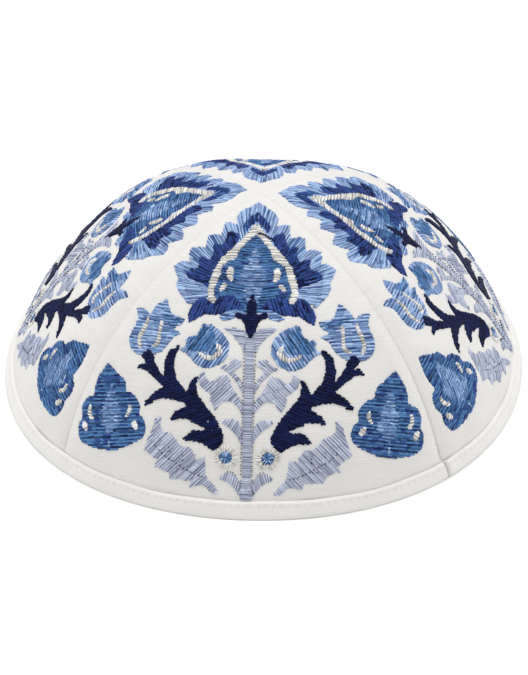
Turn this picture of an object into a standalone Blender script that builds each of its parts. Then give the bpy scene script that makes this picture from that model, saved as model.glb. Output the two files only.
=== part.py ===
"""A skullcap of four embroidered cloth panels, its rim bound with a folded strip.

The cap rests on its rim: the floor is z = 0, the crown points to +Z and the
front panel faces -Y. Everything is in metres.
"""
import math

import bmesh
import bpy
import numpy as np

# Driving dimensions of the cap.
RIM_RADIUS = 0.085          # outside of the binding where it stands, averaged round the rim
CROWN_HEIGHT = 0.0639       # from the floor to where the four seams meet
PANEL_WALL = 0.0012         # cloth with its backing
SEAM_RISE = 0.0055          # how far the seams stand above the middles of the panels
CORNER_REACH = 0.0016       # how much further out the rim is at the seams than between them
SEAM_DIP = 0.0006           # how far the cloth turns in where two panels are sewn
SEAM_FLANK = 0.0045         # how far from a seam it starts to turn in
TIP_INSET = 0.0009          # length of point left off each panel at the crown

# Driving dimensions of the binding, a strip folded round the lower edge.
BINDING_HEIGHT = 0.0049
BINDING_CLOTH = 0.0010
BINDING_ROUND = 0.0005      # softness of the strip's folds
TUCK_HEIGHT = 0.018         # height above the binding at which the panels start to draw in
TUCK_LANDING = 0.001        # height above the binding at which they are fully in

CLEARANCE = 0.0003          # between neighbouring pieces

# Slope of the crown below the horizontal, from its top to its rim.
TOP_SLOPE = math.radians(1.5)
RIM_SLOPE = math.radians(67.3)
SHOULDER_SLOPE = math.radians(3.9)   # added most half way down

# Fineness of the surfaces.
PROFILE_STEPS = 400
PANEL_COLUMNS = 16
PANEL_ROWS = 20
ROW_CROWDING = 1.25         # above 1, rows lie closer towards the rim
COLUMN_CROWDING = 0.65      # from 0, even columns, to 1, closest at the seams
PROBE = 0.001               # step for slopes, as a share of the crown or in radians
SEARCH_STEPS = 40

# Looks: base colour, roughness.
PANEL_NAMES = ("panel_front", "panel_right", "panel_back", "panel_left")
PANEL_LOOK = ((0.86, 0.85, 0.82, 1.0), 0.9)
BINDING_LOOK = ((0.80, 0.79, 0.76, 1.0), 0.85)

PANEL_COUNT = len(PANEL_NAMES)
PANEL_ANGLE = 2 * math.pi / PANEL_COUNT
CORNER = CORNER_REACH / 2 / RIM_RADIUS
BINDING_DEPTH = 2 * (BINDING_CLOTH + CLEARANCE) + PANEL_WALL   # both legs and what they hold
TUCK_DEPTH = BINDING_CLOTH + CLEARANCE                         # the outer leg's room


def clear_scene():
    for item in list(bpy.data.objects):
        bpy.data.objects.remove(item, do_unlink=True)


def smooth(value):
    """Ease from 0 to 1 with level ends."""
    value = np.clip(value, 0.0, 1.0)
    return value * value * (3 - 2 * value)


def crown_profile():
    """Radius and height at even steps down the crown, from its slope."""
    share = np.linspace(0.0, 1.0, PROFILE_STEPS + 1)
    slope = TOP_SLOPE + (RIM_SLOPE - TOP_SLOPE) * share
    slope = slope + SHOULDER_SLOPE * np.sin(math.pi * share)
    middle = (slope[1:] + slope[:-1]) / 2
    run = np.concatenate(([0.0], np.cumsum(np.cos(middle))))
    drop = np.concatenate(([0.0], np.cumsum(np.sin(middle))))
    return share, RIM_RADIUS * run / run[-1], CROWN_HEIGHT * (1 - drop / drop[-1])


SHARE, RADIUS, HEIGHT = crown_profile()
CROWN_ARC = float(np.sum(np.hypot(np.diff(RADIUS), np.diff(HEIGHT))))   # crown to rim


def outer_point(angle, share):
    """A point of the cap's outer form. The angle is counted from a panel's middle line."""
    seam_side = -np.cos(PANEL_COUNT * angle)      # -1 mid panel, 1 at the seams
    radius = np.interp(share, SHARE, RADIUS) * (1 + CORNER * seam_side * share ** 3)
    rise = SEAM_RISE / 2 * seam_side * np.sin(math.pi * share * share)
    height = np.interp(share, SHARE, HEIGHT) + rise
    return np.stack((radius * np.sin(angle), -radius * np.cos(angle), height), axis=-1)


def inward(angle, share):
    """The direction straight into the cap from its outer form."""
    low = np.clip(share - PROBE, 0.0, 1.0)
    high = np.clip(share + PROBE, 0.0, 1.0)
    down = outer_point(angle, high) - outer_point(angle, low)
    along = outer_point(angle + PROBE, share) - outer_point(angle - PROBE, share)
    normal = np.cross(along, down)
    return normal / np.linalg.norm(normal, axis=-1, keepdims=True)


def sunk_point(angle, share, depth):
    """A point at a depth under the outer form."""
    depth = np.asarray(depth)[..., None]
    return outer_point(angle, share) + inward(angle, share) * depth


def share_at_height(angle, depth, height):
    """How far down the crown a layer at this depth comes to this height."""
    low = np.full_like(angle, 0.5)
    high = np.ones_like(angle)
    for _ in range(SEARCH_STEPS):
        middle = (low + high) / 2
        above = sunk_point(angle, middle, depth)[..., 2] > height
        low = np.where(above, middle, low)
        high = np.where(above, high, middle)
    return (low + high) / 2


def crowded_columns():
    """Column places across a panel, from -1 at one seam to 1 at the other."""
    even = np.linspace(-1.0, 1.0, PANEL_COLUMNS + 1)
    return (1 - COLUMN_CROWDING) * even + COLUMN_CROWDING * np.sin(math.pi / 2 * even)


def panel_layer(extra_depth):
    """Rows of points of one side of a panel, the outer side at no extra depth."""
    across = crowded_columns()
    edge_height = BINDING_CLOTH + CLEARANCE
    tip = TIP_INSET / CROWN_ARC
    foot = share_at_height(across * PANEL_ANGLE / 2, TUCK_DEPTH + extra_depth, edge_height)
    rows = []
    for step in range(PANEL_ROWS + 1):
        down = 1 - (1 - step / PANEL_ROWS) ** ROW_CROWDING
        share = tip + (foot - tip) * down
        radius = np.interp(share, SHARE, RADIUS)
        half_angle = PANEL_ANGLE / 2 - CLEARANCE / 2 / radius
        angle = across * half_angle
        height = outer_point(angle, share)[..., 2]
        tucked = smooth((BINDING_HEIGHT + TUCK_HEIGHT - height) / (TUCK_HEIGHT - TUCK_LANDING))
        from_seam = (half_angle - np.abs(angle)) * radius
        turned_in = SEAM_DIP * smooth(1 - from_seam / SEAM_FLANK) * (1 - tucked)
        depth = TUCK_DEPTH * tucked + turned_in + extra_depth
        rows.append(sunk_point(angle, share, depth))
    return rows


def add_rows(bm, rows):
    return [[bm.verts.new(point) for point in row] for row in rows]


def join_rows(bm, rows):
    """Faces between each row of vertices and the next."""
    for upper, lower in zip(rows[:-1], rows[1:]):
        for left in range(len(upper) - 1):
            corners = (upper[left], lower[left], lower[left + 1], upper[left + 1])
            bm.faces.new(corners)


def finished_mesh(bm, name):
    bmesh.ops.recalc_face_normals(bm, faces=bm.faces)
    mesh = bpy.data.meshes.new(name)
    bm.to_mesh(mesh)
    bm.free()
    mesh.shade_smooth()
    mesh.set_sharp_from_angle(angle=math.radians(50))
    return mesh


def panel_mesh():
    """One panel, a curved triangle of cloth with its point at the crown."""
    bm = bmesh.new()
    outer = add_rows(bm, panel_layer(0.0))
    inner = add_rows(bm, panel_layer(PANEL_WALL))
    join_rows(bm, outer)
    join_rows(bm, inner)
    for side in (0, -1):
        join_rows(bm, [[row[side] for row in outer], [row[side] for row in inner]])
    for end in (0, -1):
        join_rows(bm, [outer[end], inner[end]])
    return finished_mesh(bm, "panel")


def binding_section():
    """The folded strip's section as pairs of height and depth, once round."""
    far_leg = BINDING_DEPTH - BINDING_CLOTH
    below_top = BINDING_HEIGHT - BINDING_ROUND
    return (
        (BINDING_ROUND, 0.0),
        (below_top, 0.0),
        (BINDING_HEIGHT, BINDING_ROUND),
        (BINDING_HEIGHT, BINDING_CLOTH),
        (BINDING_CLOTH, BINDING_CLOTH),
        (BINDING_CLOTH, far_leg),
        (BINDING_HEIGHT, far_leg),
        (BINDING_HEIGHT, BINDING_DEPTH - BINDING_ROUND),
        (below_top, BINDING_DEPTH),
        (BINDING_ROUND, BINDING_DEPTH),
        (0.0, BINDING_DEPTH - BINDING_ROUND),
        (0.0, BINDING_ROUND),
    )


def binding_mesh():
    """The binding, a closed ring with a slot on top that takes the panels."""
    quarter = crowded_columns()[:-1] * PANEL_ANGLE / 2
    starts = [panel * PANEL_ANGLE for panel in range(PANEL_COUNT)]
    angle = np.concatenate([start + quarter for start in starts])
    rings = []
    for height, depth in binding_section():
        share = share_at_height(angle, depth, height)
        rings.append(sunk_point(angle, share, depth))
    bm = bmesh.new()
    rows = [row + row[:1] for row in add_rows(bm, rings)]
    join_rows(bm, rows + rows[:1])
    return finished_mesh(bm, "rim_binding")


def cloth_material(name, look):
    colour, roughness = look
    material = bpy.data.materials.new(name)
    material.use_nodes = True
    shader = material.node_tree.nodes["Principled BSDF"]
    shader.inputs["Base Color"].default_value = colour
    shader.inputs["Roughness"].default_value = roughness
    shader.inputs["Metallic"].default_value = 0.0
    return material


def add_piece(name, mesh, parent, look, turn=0.0):
    """One piece of the cap, in its own object with its own material."""
    piece = bpy.data.objects.new(name, mesh)
    bpy.context.collection.objects.link(piece)
    piece.parent = parent
    piece.rotation_euler = (0.0, 0.0, turn)
    if not mesh.materials:
        mesh.materials.append(None)
    slot = piece.material_slots[0]
    slot.link = "OBJECT"
    slot.material = cloth_material(name + "_cloth", look)
    return piece


def main():
    clear_scene()
    cap = bpy.data.objects.new("cap", None)
    bpy.context.collection.objects.link(cap)
    panel = panel_mesh()
    for order, name in enumerate(PANEL_NAMES):
        add_piece(name, panel, cap, PANEL_LOOK, order * PANEL_ANGLE)
    add_piece("rim_binding", binding_mesh(), cap, BINDING_LOOK)


main()
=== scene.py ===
"""Looks of a skullcap of four embroidered cloth panels with a bound rim.

The frame holds the cap's plain solids. This script puts fine cloth, a folded binding
and stitched thread in their place, on the same form. Positions on a panel are in
millimetres: across from its middle line, then down from the crown. The rest is in metres.
"""
import math
from collections import namedtuple

import bpy
import numpy as np
from mathutils import Matrix, Vector


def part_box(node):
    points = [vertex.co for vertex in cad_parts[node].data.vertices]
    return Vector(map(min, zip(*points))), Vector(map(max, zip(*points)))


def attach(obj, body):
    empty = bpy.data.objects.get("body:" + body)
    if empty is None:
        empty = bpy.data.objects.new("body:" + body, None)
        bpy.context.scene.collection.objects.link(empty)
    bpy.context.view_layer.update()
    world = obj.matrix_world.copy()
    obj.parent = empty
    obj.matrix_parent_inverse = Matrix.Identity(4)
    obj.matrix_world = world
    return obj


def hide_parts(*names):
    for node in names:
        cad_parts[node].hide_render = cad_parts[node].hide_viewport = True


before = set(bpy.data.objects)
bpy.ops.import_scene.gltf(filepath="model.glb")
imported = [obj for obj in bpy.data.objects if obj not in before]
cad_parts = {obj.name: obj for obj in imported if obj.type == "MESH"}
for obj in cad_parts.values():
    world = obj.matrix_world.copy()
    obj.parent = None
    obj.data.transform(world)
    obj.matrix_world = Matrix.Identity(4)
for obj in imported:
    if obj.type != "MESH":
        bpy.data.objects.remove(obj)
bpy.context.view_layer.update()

MM = 0.001

# The cap's form, as in the frame.
PANELS = ("panel_front", "panel_right", "panel_back", "panel_left")
RIM_RADIUS = 0.085
CROWN_HEIGHT = 0.0639
PANEL_WALL = 0.0012
SEAM_RISE = 0.0055
CORNER_REACH = 0.0016
SEAM_DIP = 0.0006
SEAM_FLANK = 0.0045
BINDING_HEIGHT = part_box("rim_binding")[1].z
BINDING_CLOTH = 0.0010
TUCK_HEIGHT = 0.018
TUCK_LANDING = 0.001
CLEARANCE = 0.0003
TOP_SLOPE = math.radians(1.5)
RIM_SLOPE = math.radians(67.3)
SHOULDER_SLOPE = math.radians(3.9)
PROFILE_STEPS = 400
PROBE = 0.001

PANEL_ANGLE = 2 * math.pi / len(PANELS)
CORNER = CORNER_REACH / 2 / RIM_RADIUS
TUCK_DEPTH = BINDING_CLOTH + CLEARANCE
BINDING_DEPTH = 2 * TUCK_DEPTH + PANEL_WALL

# Fine form of the cloth.
PANEL_COLUMNS = 124
PANEL_ROWS = 106
CREASE = math.radians(50)    # cloth edges sharper than this stay crisp
COLUMN_CROWDING = 0.85
GROOVE_DEPTH = 0.0006       # the narrow valley right at a seam
GROOVE_WIDTH = 0.0007
FIRM_SEAM = 0.005           # the cloth lies evenly this close to a seam
SEAM_SLIT = 0.000004        # what stays open between two panels
SEAM_SHADE = (0.5, 1.1, 0.8, 0.8)   # how dark the painted shade at the seam left of each panel is
SEAM_SHADE_WIDTH = 0.0005
# How dark the painted shade along a panel's foot, just above the binding, is.
LIP_SHADE = 0.5
DRAWN_IN = 0.00075          # how far the cloth is drawn in above the binding
LIP_REACH = 0.0010          # height over which it then dives under the binding
LIP_GAP = 0.00004
PUCKER_DEPTH = 0.00010
RIB_SAG = 0.0036            # how the cloth's straight ribs bow on the dome, per mm
PUCKER_PITCH = 3.1          # mm along the seam
PUCKER_REACH = 0.0022
MAP_SIZE = (140, 116)       # mm covered by the map of stitching, across and down
MAP_STEP = 0.4
SUNK_STITCHING = 0.28       # mm by which stitching draws the cloth down
EDGE_FOLDS = 0.12           # mm, small folds round stitched shapes
RIPPLES = ((0.22, 38.0), (0.10, 17.0), (0.03, 6.5))   # depth in mm, length in mm
RIPPLES_OF_A_SIZE = 4
PANEL_TIP = 0.05            # mm from the crown at which a panel starts

# Stitches.
EMBROIDERY_SEED = 100
THREAD_WIDTH = 1.5          # of the pitch between neighbouring strands
THREAD_HEIGHT = 0.30
PADDING = 0.20              # mm of extra height in the middle of a filled shape
OVERLAP = 0.3               # mm by which stitches in one row run past each other
RUN_UNDER = 0.55            # mm by which stitches pass under a neighbouring shape
SHORTEST = 0.5
MEAN_TONE = 0.66
ROW_CONTRAST = 0.32         # painted shade: every other row is darker, as if it caught less light
ROW_SPREAD = 0.38           # how far tones wander from row to row
STITCH_SPREAD = 0.32        # and from stitch to stitch
END_SPREAD = (-0.3, 1.0)    # how far rows run past their ends, of a fill's raggedness
MARK_WANDER = 0.35          # of a stitch's length
OFF_LINE = 0.035            # mm by which a row lies off its line
SWAY = 0.055                # mm by which each stitch end lies off its row
# How far in mm each panel's pattern is off its middle, across and down.
PATTERN_SHIFT = ((-0.3, 0.0), (0.5, -0.4), (0.2, 0.0), (-1.6, -1.1))


def smooth(value):
    """Ease from 0 to 1 with level ends."""
    value = np.clip(value, 0.0, 1.0)
    return value * value * (3 - 2 * value)


def crown_profile():
    """Radius and height at even steps down the crown, from its slope."""
    share = np.linspace(0.0, 1.0, PROFILE_STEPS + 1)
    slope = TOP_SLOPE + (RIM_SLOPE - TOP_SLOPE) * share
    slope = slope + SHOULDER_SLOPE * np.sin(math.pi * share)
    middle = (slope[1:] + slope[:-1]) / 2
    run = np.concatenate(([0.0], np.cumsum(np.cos(middle))))
    drop = np.concatenate(([0.0], np.cumsum(np.sin(middle))))
    return share, RIM_RADIUS * run / run[-1], CROWN_HEIGHT * (1 - drop / drop[-1])


SHARE, RADIUS, HEIGHT = crown_profile()
CROWN_ARC = float(np.sum(np.hypot(np.diff(RADIUS), np.diff(HEIGHT))))


def outer_point(angle, share):
    """A point of the cap's outer form. The angle is counted from a panel's middle line."""
    seam_side = -np.cos(len(PANELS) * angle)
    radius = np.interp(share, SHARE, RADIUS) * (1 + CORNER * seam_side * share ** 3)
    rise = SEAM_RISE / 2 * seam_side * np.sin(math.pi * share * share)
    height = np.interp(share, SHARE, HEIGHT) + rise
    return np.stack((radius * np.sin(angle), -radius * np.cos(angle), height), axis=-1)


def inward(angle, share):
    """The direction straight into the cap from its outer form."""
    low = np.clip(share - PROBE, 0.0, 1.0)
    high = np.clip(share + PROBE, 0.0, 1.0)
    down = outer_point(angle, high) - outer_point(angle, low)
    along = outer_point(angle + PROBE, share) - outer_point(angle - PROBE, share)
    normal = np.cross(along, down)
    return normal / np.maximum(np.linalg.norm(normal, axis=-1, keepdims=True), 1e-12)


def sunk_point(angle, share, depth):
    """A point at a depth under the outer form."""
    depth = np.asarray(depth)[..., None]
    return outer_point(angle, share) + inward(angle, share) * depth


def share_at_height(angle, depth, height):
    """How far down the crown a layer at this depth comes to this height."""
    low = np.full_like(angle, 0.5)
    high = np.ones_like(angle)
    for _ in range(30):
        middle = (low + high) / 2
        above = sunk_point(angle, middle, depth)[..., 2] > height
        low = np.where(above, middle, low)
        high = np.where(above, high, middle)
    return (low + high) / 2


def ripple(across, down, seed):
    """Soft unevenness of handled cloth, in mm, smooth in both directions."""
    rng = np.random.default_rng(seed)
    total = 0.0
    for depth, length in RIPPLES:
        for _ in range(RIPPLES_OF_A_SIZE):
            turn = rng.uniform(0, 2 * math.pi)
            stretch = rng.uniform(0.75, 1.35)
            phase = rng.uniform(0, 2 * math.pi)
            way = across * math.cos(turn) + down * math.sin(turn)
            total = total + depth / 2 * np.sin(2 * math.pi * way / (length * stretch) + phase)
    return total


def stitched_map():
    """Where a panel is stitched, as a soft map in millimetres across and down."""
    wide, long = MAP_SIZE
    area = np.zeros((long, wide))
    for _, spans in SPANS:
        for origin, direction, start, end, _ in spans:
            places = origin + direction * np.arange(start, end, MAP_STEP)[:, None]
            across = np.clip(np.round(places[:, 0] + wide / 2), 0, wide - 1).astype(int)
            down = np.clip(np.round(places[:, 1]), 0, long - 1).astype(int)
            area[down, across] = 1.0
    for _ in range(2):
        for axis in (0, 1):
            area = (np.roll(area, 1, axis) + area + np.roll(area, -1, axis)) / 3
    return area


def drawn_down(across, down):
    """How far in mm the stitching draws the cloth down at a place."""
    long, wide = STITCHED.shape
    right = np.clip(across + wide / 2, 0, wide - 1.001)
    below = np.clip(down, 0, long - 1.001)
    column, row = right.astype(int), below.astype(int)
    right, below = right - column, below - row
    upper = STITCHED[row, column] * (1 - right) + STITCHED[row, column + 1] * right
    lower = STITCHED[row + 1, column] * (1 - right) + STITCHED[row + 1, column + 1] * right
    area = upper * (1 - below) + lower * below
    folds_and_painted_shades = np.sin(1.9 * across + 0.7 * down + 1.5 * np.sin(down / 4))
    folds_and_painted_shades = folds_and_painted_shades * np.sin(across / 5 + down / 7)
    return SUNK_STITCHING * area + EDGE_FOLDS * 4 * area * (1 - area) * folds_and_painted_shades


def cloth_depth(angle, share, seed):
    """How far a panel's cloth lies under the outer form."""
    radius = np.maximum(np.interp(share, SHARE, RADIUS), 1e-6)
    height = outer_point(angle, share)[..., 2]
    tucked = smooth((BINDING_HEIGHT + TUCK_HEIGHT - height) / (TUCK_HEIGHT - TUCK_LANDING))
    pressed = smooth((BINDING_HEIGHT + LIP_REACH - height) / LIP_REACH)
    from_seam = np.maximum((PANEL_ANGLE / 2 - np.abs(angle)) * radius, 0.0)
    down = share * CROWN_ARC / MM
    # The seam's dip, its narrow groove, deeper towards the rim, and the puckers along it.
    turned_in = SEAM_DIP * smooth(1 - from_seam / SEAM_FLANK)
    groove = GROOVE_DEPTH * (0.2 + 0.8 * share ** 3)
    turned_in = turned_in + groove * np.exp(-from_seam / GROOVE_WIDTH)
    pull = np.sin(2 * math.pi * down / PUCKER_PITCH + 1.7 * np.sin(down / 5.0))
    turned_in = turned_in + PUCKER_DEPTH * (1 + pull) * np.exp(-from_seam / PUCKER_REACH)
    across = angle * radius / MM
    shift = PATTERN_SHIFT[seed]
    uneven = (ripple(across, down, seed) + drawn_down(across - shift[0], down - shift[1])) * MM
    uneven = uneven * smooth(from_seam / FIRM_SEAM)
    sunk = DRAWN_IN * tucked + (BINDING_CLOTH + LIP_GAP - DRAWN_IN) * pressed
    return sunk + turned_in * (1 - pressed) + uneven * (1 - 0.8 * tucked)


def on_panel(across, down, lift, seed):
    """A place on a panel's cloth, from millimetres across and down and a lift in mm."""
    share = np.clip(down * MM / CROWN_ARC, 1e-4, 1.0)
    radius = np.interp(share, SHARE, RADIUS)
    angle = across * MM / radius
    return sunk_point(angle, share, cloth_depth(angle, share, seed) - lift * MM)


def cell_faces(number):
    """Faces between the neighbours in one or more grids of vertex numbers."""
    corners = (number[..., :-1, :-1], number[..., 1:, :-1], number[..., 1:, 1:], number[..., :-1, 1:])
    return np.stack(corners, axis=-1).reshape(-1, 4)


def new_piece(name, points, faces, material, values, creased=False):
    """A mesh piece of the cap, smooth or with crisp edges, with named values at its points."""
    mesh = bpy.data.meshes.new(name)
    mesh.from_pydata(points.reshape(-1, 3).tolist(), [], faces.tolist())
    for title, numbers in values.items():
        vector = numbers.size == points.size
        layer = mesh.attributes.new(title, "FLOAT_VECTOR" if vector else "FLOAT", "POINT")
        layer.data.foreach_set("vector" if vector else "value",
                               np.ascontiguousarray(numbers, dtype=np.float32).ravel())
    mesh.shade_smooth()
    if creased:
        mesh.set_sharp_from_angle(angle=CREASE)
    mesh.materials.append(material)
    piece = bpy.data.objects.new(name, mesh)
    bpy.context.collection.objects.link(piece)
    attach(piece, "root")
    return piece


def turned(points, panel):
    """Points of the front panel, turned about the cap's axis to another panel's place."""
    turn = panel * PANEL_ANGLE
    cosine, sine = math.cos(turn), math.sin(turn)
    matrix = np.array(((cosine, -sine, 0), (sine, cosine, 0), (0, 0, 1)))
    return points @ matrix.T


def panel_layer(extra_depth, seed):
    """One side of a panel, row after row: points, their place in mm and their painted shade at the
    seams and above the binding.
    """
    even = np.linspace(-1.0, 1.0, PANEL_COLUMNS)
    across = (1 - COLUMN_CROWDING) * even + COLUMN_CROWDING * np.sin(math.pi / 2 * even)
    edge_height = BINDING_CLOTH + CLEARANCE
    depth = BINDING_CLOTH + LIP_GAP + extra_depth
    foot = share_at_height(across * PANEL_ANGLE / 2, depth, edge_height)
    tip = PANEL_TIP * MM / CROWN_ARC
    down_share = np.linspace(0.0, 1.0, PANEL_ROWS)[:, None]
    share = tip + (foot[None, :] - tip) * down_share
    radius = np.interp(share, SHARE, RADIUS)
    half_angle = np.maximum(PANEL_ANGLE / 2 - SEAM_SLIT / 2 / radius, PANEL_ANGLE / 8)
    angle = across[None, :] * half_angle
    depth = cloth_depth(angle, share, seed) + extra_depth
    crosswise = angle * radius / MM
    lengthwise = share * CROWN_ARC / MM - RIB_SAG * crosswise ** 2
    place = np.stack((crosswise, lengthwise, 0 * angle), axis=-1)
    from_seam = (half_angle - np.abs(angle)) * radius
    # Painted shade: darker along each seam's groove, more so towards the rim, and along the foot just
    # above the binding.
    shade = np.where(angle < 0, SEAM_SHADE[seed], SEAM_SHADE[(seed + 1) % len(PANELS)])
    seam_painted_shade = shade * (0.10 + 0.25 * smooth(2 * share - 0.8))
    seam_painted_shade = seam_painted_shade * np.exp(-(from_seam / SEAM_SHADE_WIDTH) ** 2)
    height = outer_point(angle, share)[..., 2]
    lip_painted_shade = LIP_SHADE * smooth(1 - (height - BINDING_HEIGHT) / LIP_REACH)
    return sunk_point(angle, share, depth), place, np.maximum(seam_painted_shade, lip_painted_shade)


def make_panel(panel, material):
    """One cloth panel, a thin wall with an outer and an inner side."""
    outer, place, painted_shade = panel_layer(0.0, panel)
    inner, _, _ = panel_layer(PANEL_WALL, panel)
    count = PANEL_ROWS * PANEL_COLUMNS
    near = np.arange(count).reshape(PANEL_ROWS, PANEL_COLUMNS)
    far = near + count
    faces = [cell_faces(near), cell_faces(far)[:, ::-1]]
    for first, second in ((far[:, 0], near[:, 0]), (near[:, -1], far[:, -1]),
                          (near[0], far[0]), (far[-1], near[-1])):
        faces.append(cell_faces(np.stack((first, second))))
    points = turned(np.concatenate((outer, inner)), panel)
    values = {
        "cloth_mm": np.concatenate((place, place)),
        # The painted shade is on the outer side only.
        "painted_shade": np.concatenate((painted_shade, 0 * painted_shade)),
    }
    piece = new_piece("cloth_" + PANELS[panel], points, np.concatenate(faces), material,
                      values, True)
    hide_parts(PANELS[panel])


# The binding.
BINDING_COLUMNS = 1280
FOLD_ROUND = 0.0009         # round of the fold the cap stands on
EDGE_ROUND = 0.00055        # round of the folded upper edge
ARC_STEPS = 5
LEG_ROWS = 10
BACK_LEG_STEP = 3           # the back leg, hardly seen, keeps every third row
SLOT_DROP = 0.0001          # the slot's mouth below the binding's top
JOINT_ANGLE = PANEL_ANGLE / 2
JOINT_STEP = 0.00035        # one end of the strip lies over the other
JOINT_LAP = 0.006
JOINT_GROOVE = 0.0009
JOINT_WIDTH = 0.0006
HOLE_PITCH = 0.0024         # needle holes along the upper edge
HOLE_DROP = 0.0011          # below the upper edge
HOLE_SIZE = 0.00045
HOLE_DEPTH = 0.0003


def arc(centre, radius, start, end):
    """Points on an arc in the binding's section, between two angles in degrees."""
    turn = np.radians(np.linspace(start, end, ARC_STEPS + 1))
    return [(centre[0] + radius * math.sin(a), centre[1] - radius * math.cos(a)) for a in turn]


def binding_section():
    """The folded strip's section as pairs of height and depth, once round."""
    top = BINDING_HEIGHT - EDGE_ROUND
    far = BINDING_DEPTH
    leg = np.linspace(FOLD_ROUND, top, LEG_ROWS)[1:-1]
    outside = [(height, 0.0) for height in leg]
    inside = [(height, far) for height in leg[::-BACK_LEG_STEP]]
    front_edge = arc((top, EDGE_ROUND), EDGE_ROUND, 0, 90)
    slot = [
        (BINDING_HEIGHT - SLOT_DROP, BINDING_CLOTH),
        (BINDING_CLOTH, BINDING_CLOTH),
        (BINDING_CLOTH, far - BINDING_CLOTH),
        (BINDING_HEIGHT - SLOT_DROP, far - BINDING_CLOTH),
    ]
    back_edge = arc((top, far - EDGE_ROUND), EDGE_ROUND, 90, 180)
    back_fold = arc((FOLD_ROUND, far - FOLD_ROUND), FOLD_ROUND, 180, 270)
    front_fold = arc((FOLD_ROUND, FOLD_ROUND), FOLD_ROUND, 270, 360)
    return outside + front_edge + slot + back_edge + inside + back_fold + front_fold


def binding_relief(angle, height, depth):
    """How far the binding's surface sinks at a place, and its painted shade in the needle holes and the
    joint's groove.
    """
    arc_length = angle * RIM_RADIUS
    outside = float(depth < BINDING_DEPTH / 2)
    upright = smooth(height / BINDING_HEIGHT * 2)
    # The strip's slow and quick waves, and holes a little unevenly spaced.
    waves = 0.00007 * np.sin(arc_length / 0.0061 + 1.3 * np.sin(arc_length / 0.019))
    waves = waves + 0.00005 * np.sin(arc_length / 0.0023 + 2.0)
    along_hole = (arc_length + 0.0003 * np.sin(arc_length / 0.0007)) % HOLE_PITCH - HOLE_PITCH / 2
    from_hole = np.hypot(along_hole, BINDING_HEIGHT - HOLE_DROP - height)
    holes = np.exp(-(from_hole / HOLE_SIZE) ** 2) * outside
    turn = (angle - JOINT_ANGLE + math.pi) % (2 * math.pi) - math.pi
    from_joint = turn * RIM_RADIUS - 0.0004 * math.sin(height / 0.0016)
    overlap = JOINT_STEP * smooth(1 - from_joint / JOINT_LAP) * (from_joint > 0)
    groove = np.exp(-(from_joint / JOINT_WIDTH) ** 2) * outside
    relief = (waves + JOINT_GROOVE * groove - overlap * outside) * upright + HOLE_DEPTH * holes
    # Painted shade: darker in the needle holes and in the joint's groove.
    return relief, np.maximum(0.35 * holes, 0.6 * groove)


def make_binding(material):
    """The binding, a closed ring round the panels' lower edge."""
    angle = np.linspace(0.0, 2 * math.pi, BINDING_COLUMNS, endpoint=False)
    rings, places, folds_and_painted_shades = [], [], []
    run = 0.0
    previous = None
    for height, depth in binding_section():
        sway = 0.00012 * np.sin(angle * 9 + 1.0) + 0.00008 * np.sin(angle * 23)
        lifted = height * (1 + sway / BINDING_HEIGHT)
        share = share_at_height(angle, depth, lifted)
        relief, painted_shade = binding_relief(angle, height, depth)
        rings.append(sunk_point(angle, share, depth + relief))
        # The painted shade of the needle holes and the joint, ring by ring.
        folds_and_painted_shades.append(painted_shade)
        if previous is not None:
            run += math.hypot(height - previous[0], depth - previous[1])
        previous = (height, depth)
        around = angle * RIM_RADIUS / MM
        places.append(np.stack((around, np.full_like(angle, run / MM), 0 * angle), -1))
    number = np.arange(len(rings) * BINDING_COLUMNS).reshape(-1, BINDING_COLUMNS)
    faces = cell_faces(np.pad(number, (0, 1), "wrap").T)
    values = {"cloth_mm": np.concatenate(places), "painted_shade": np.concatenate(folds_and_painted_shades)}
    piece = new_piece("cloth_rim_binding", np.concatenate(rings), faces, material,
                      values, True)
    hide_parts("rim_binding")


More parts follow.
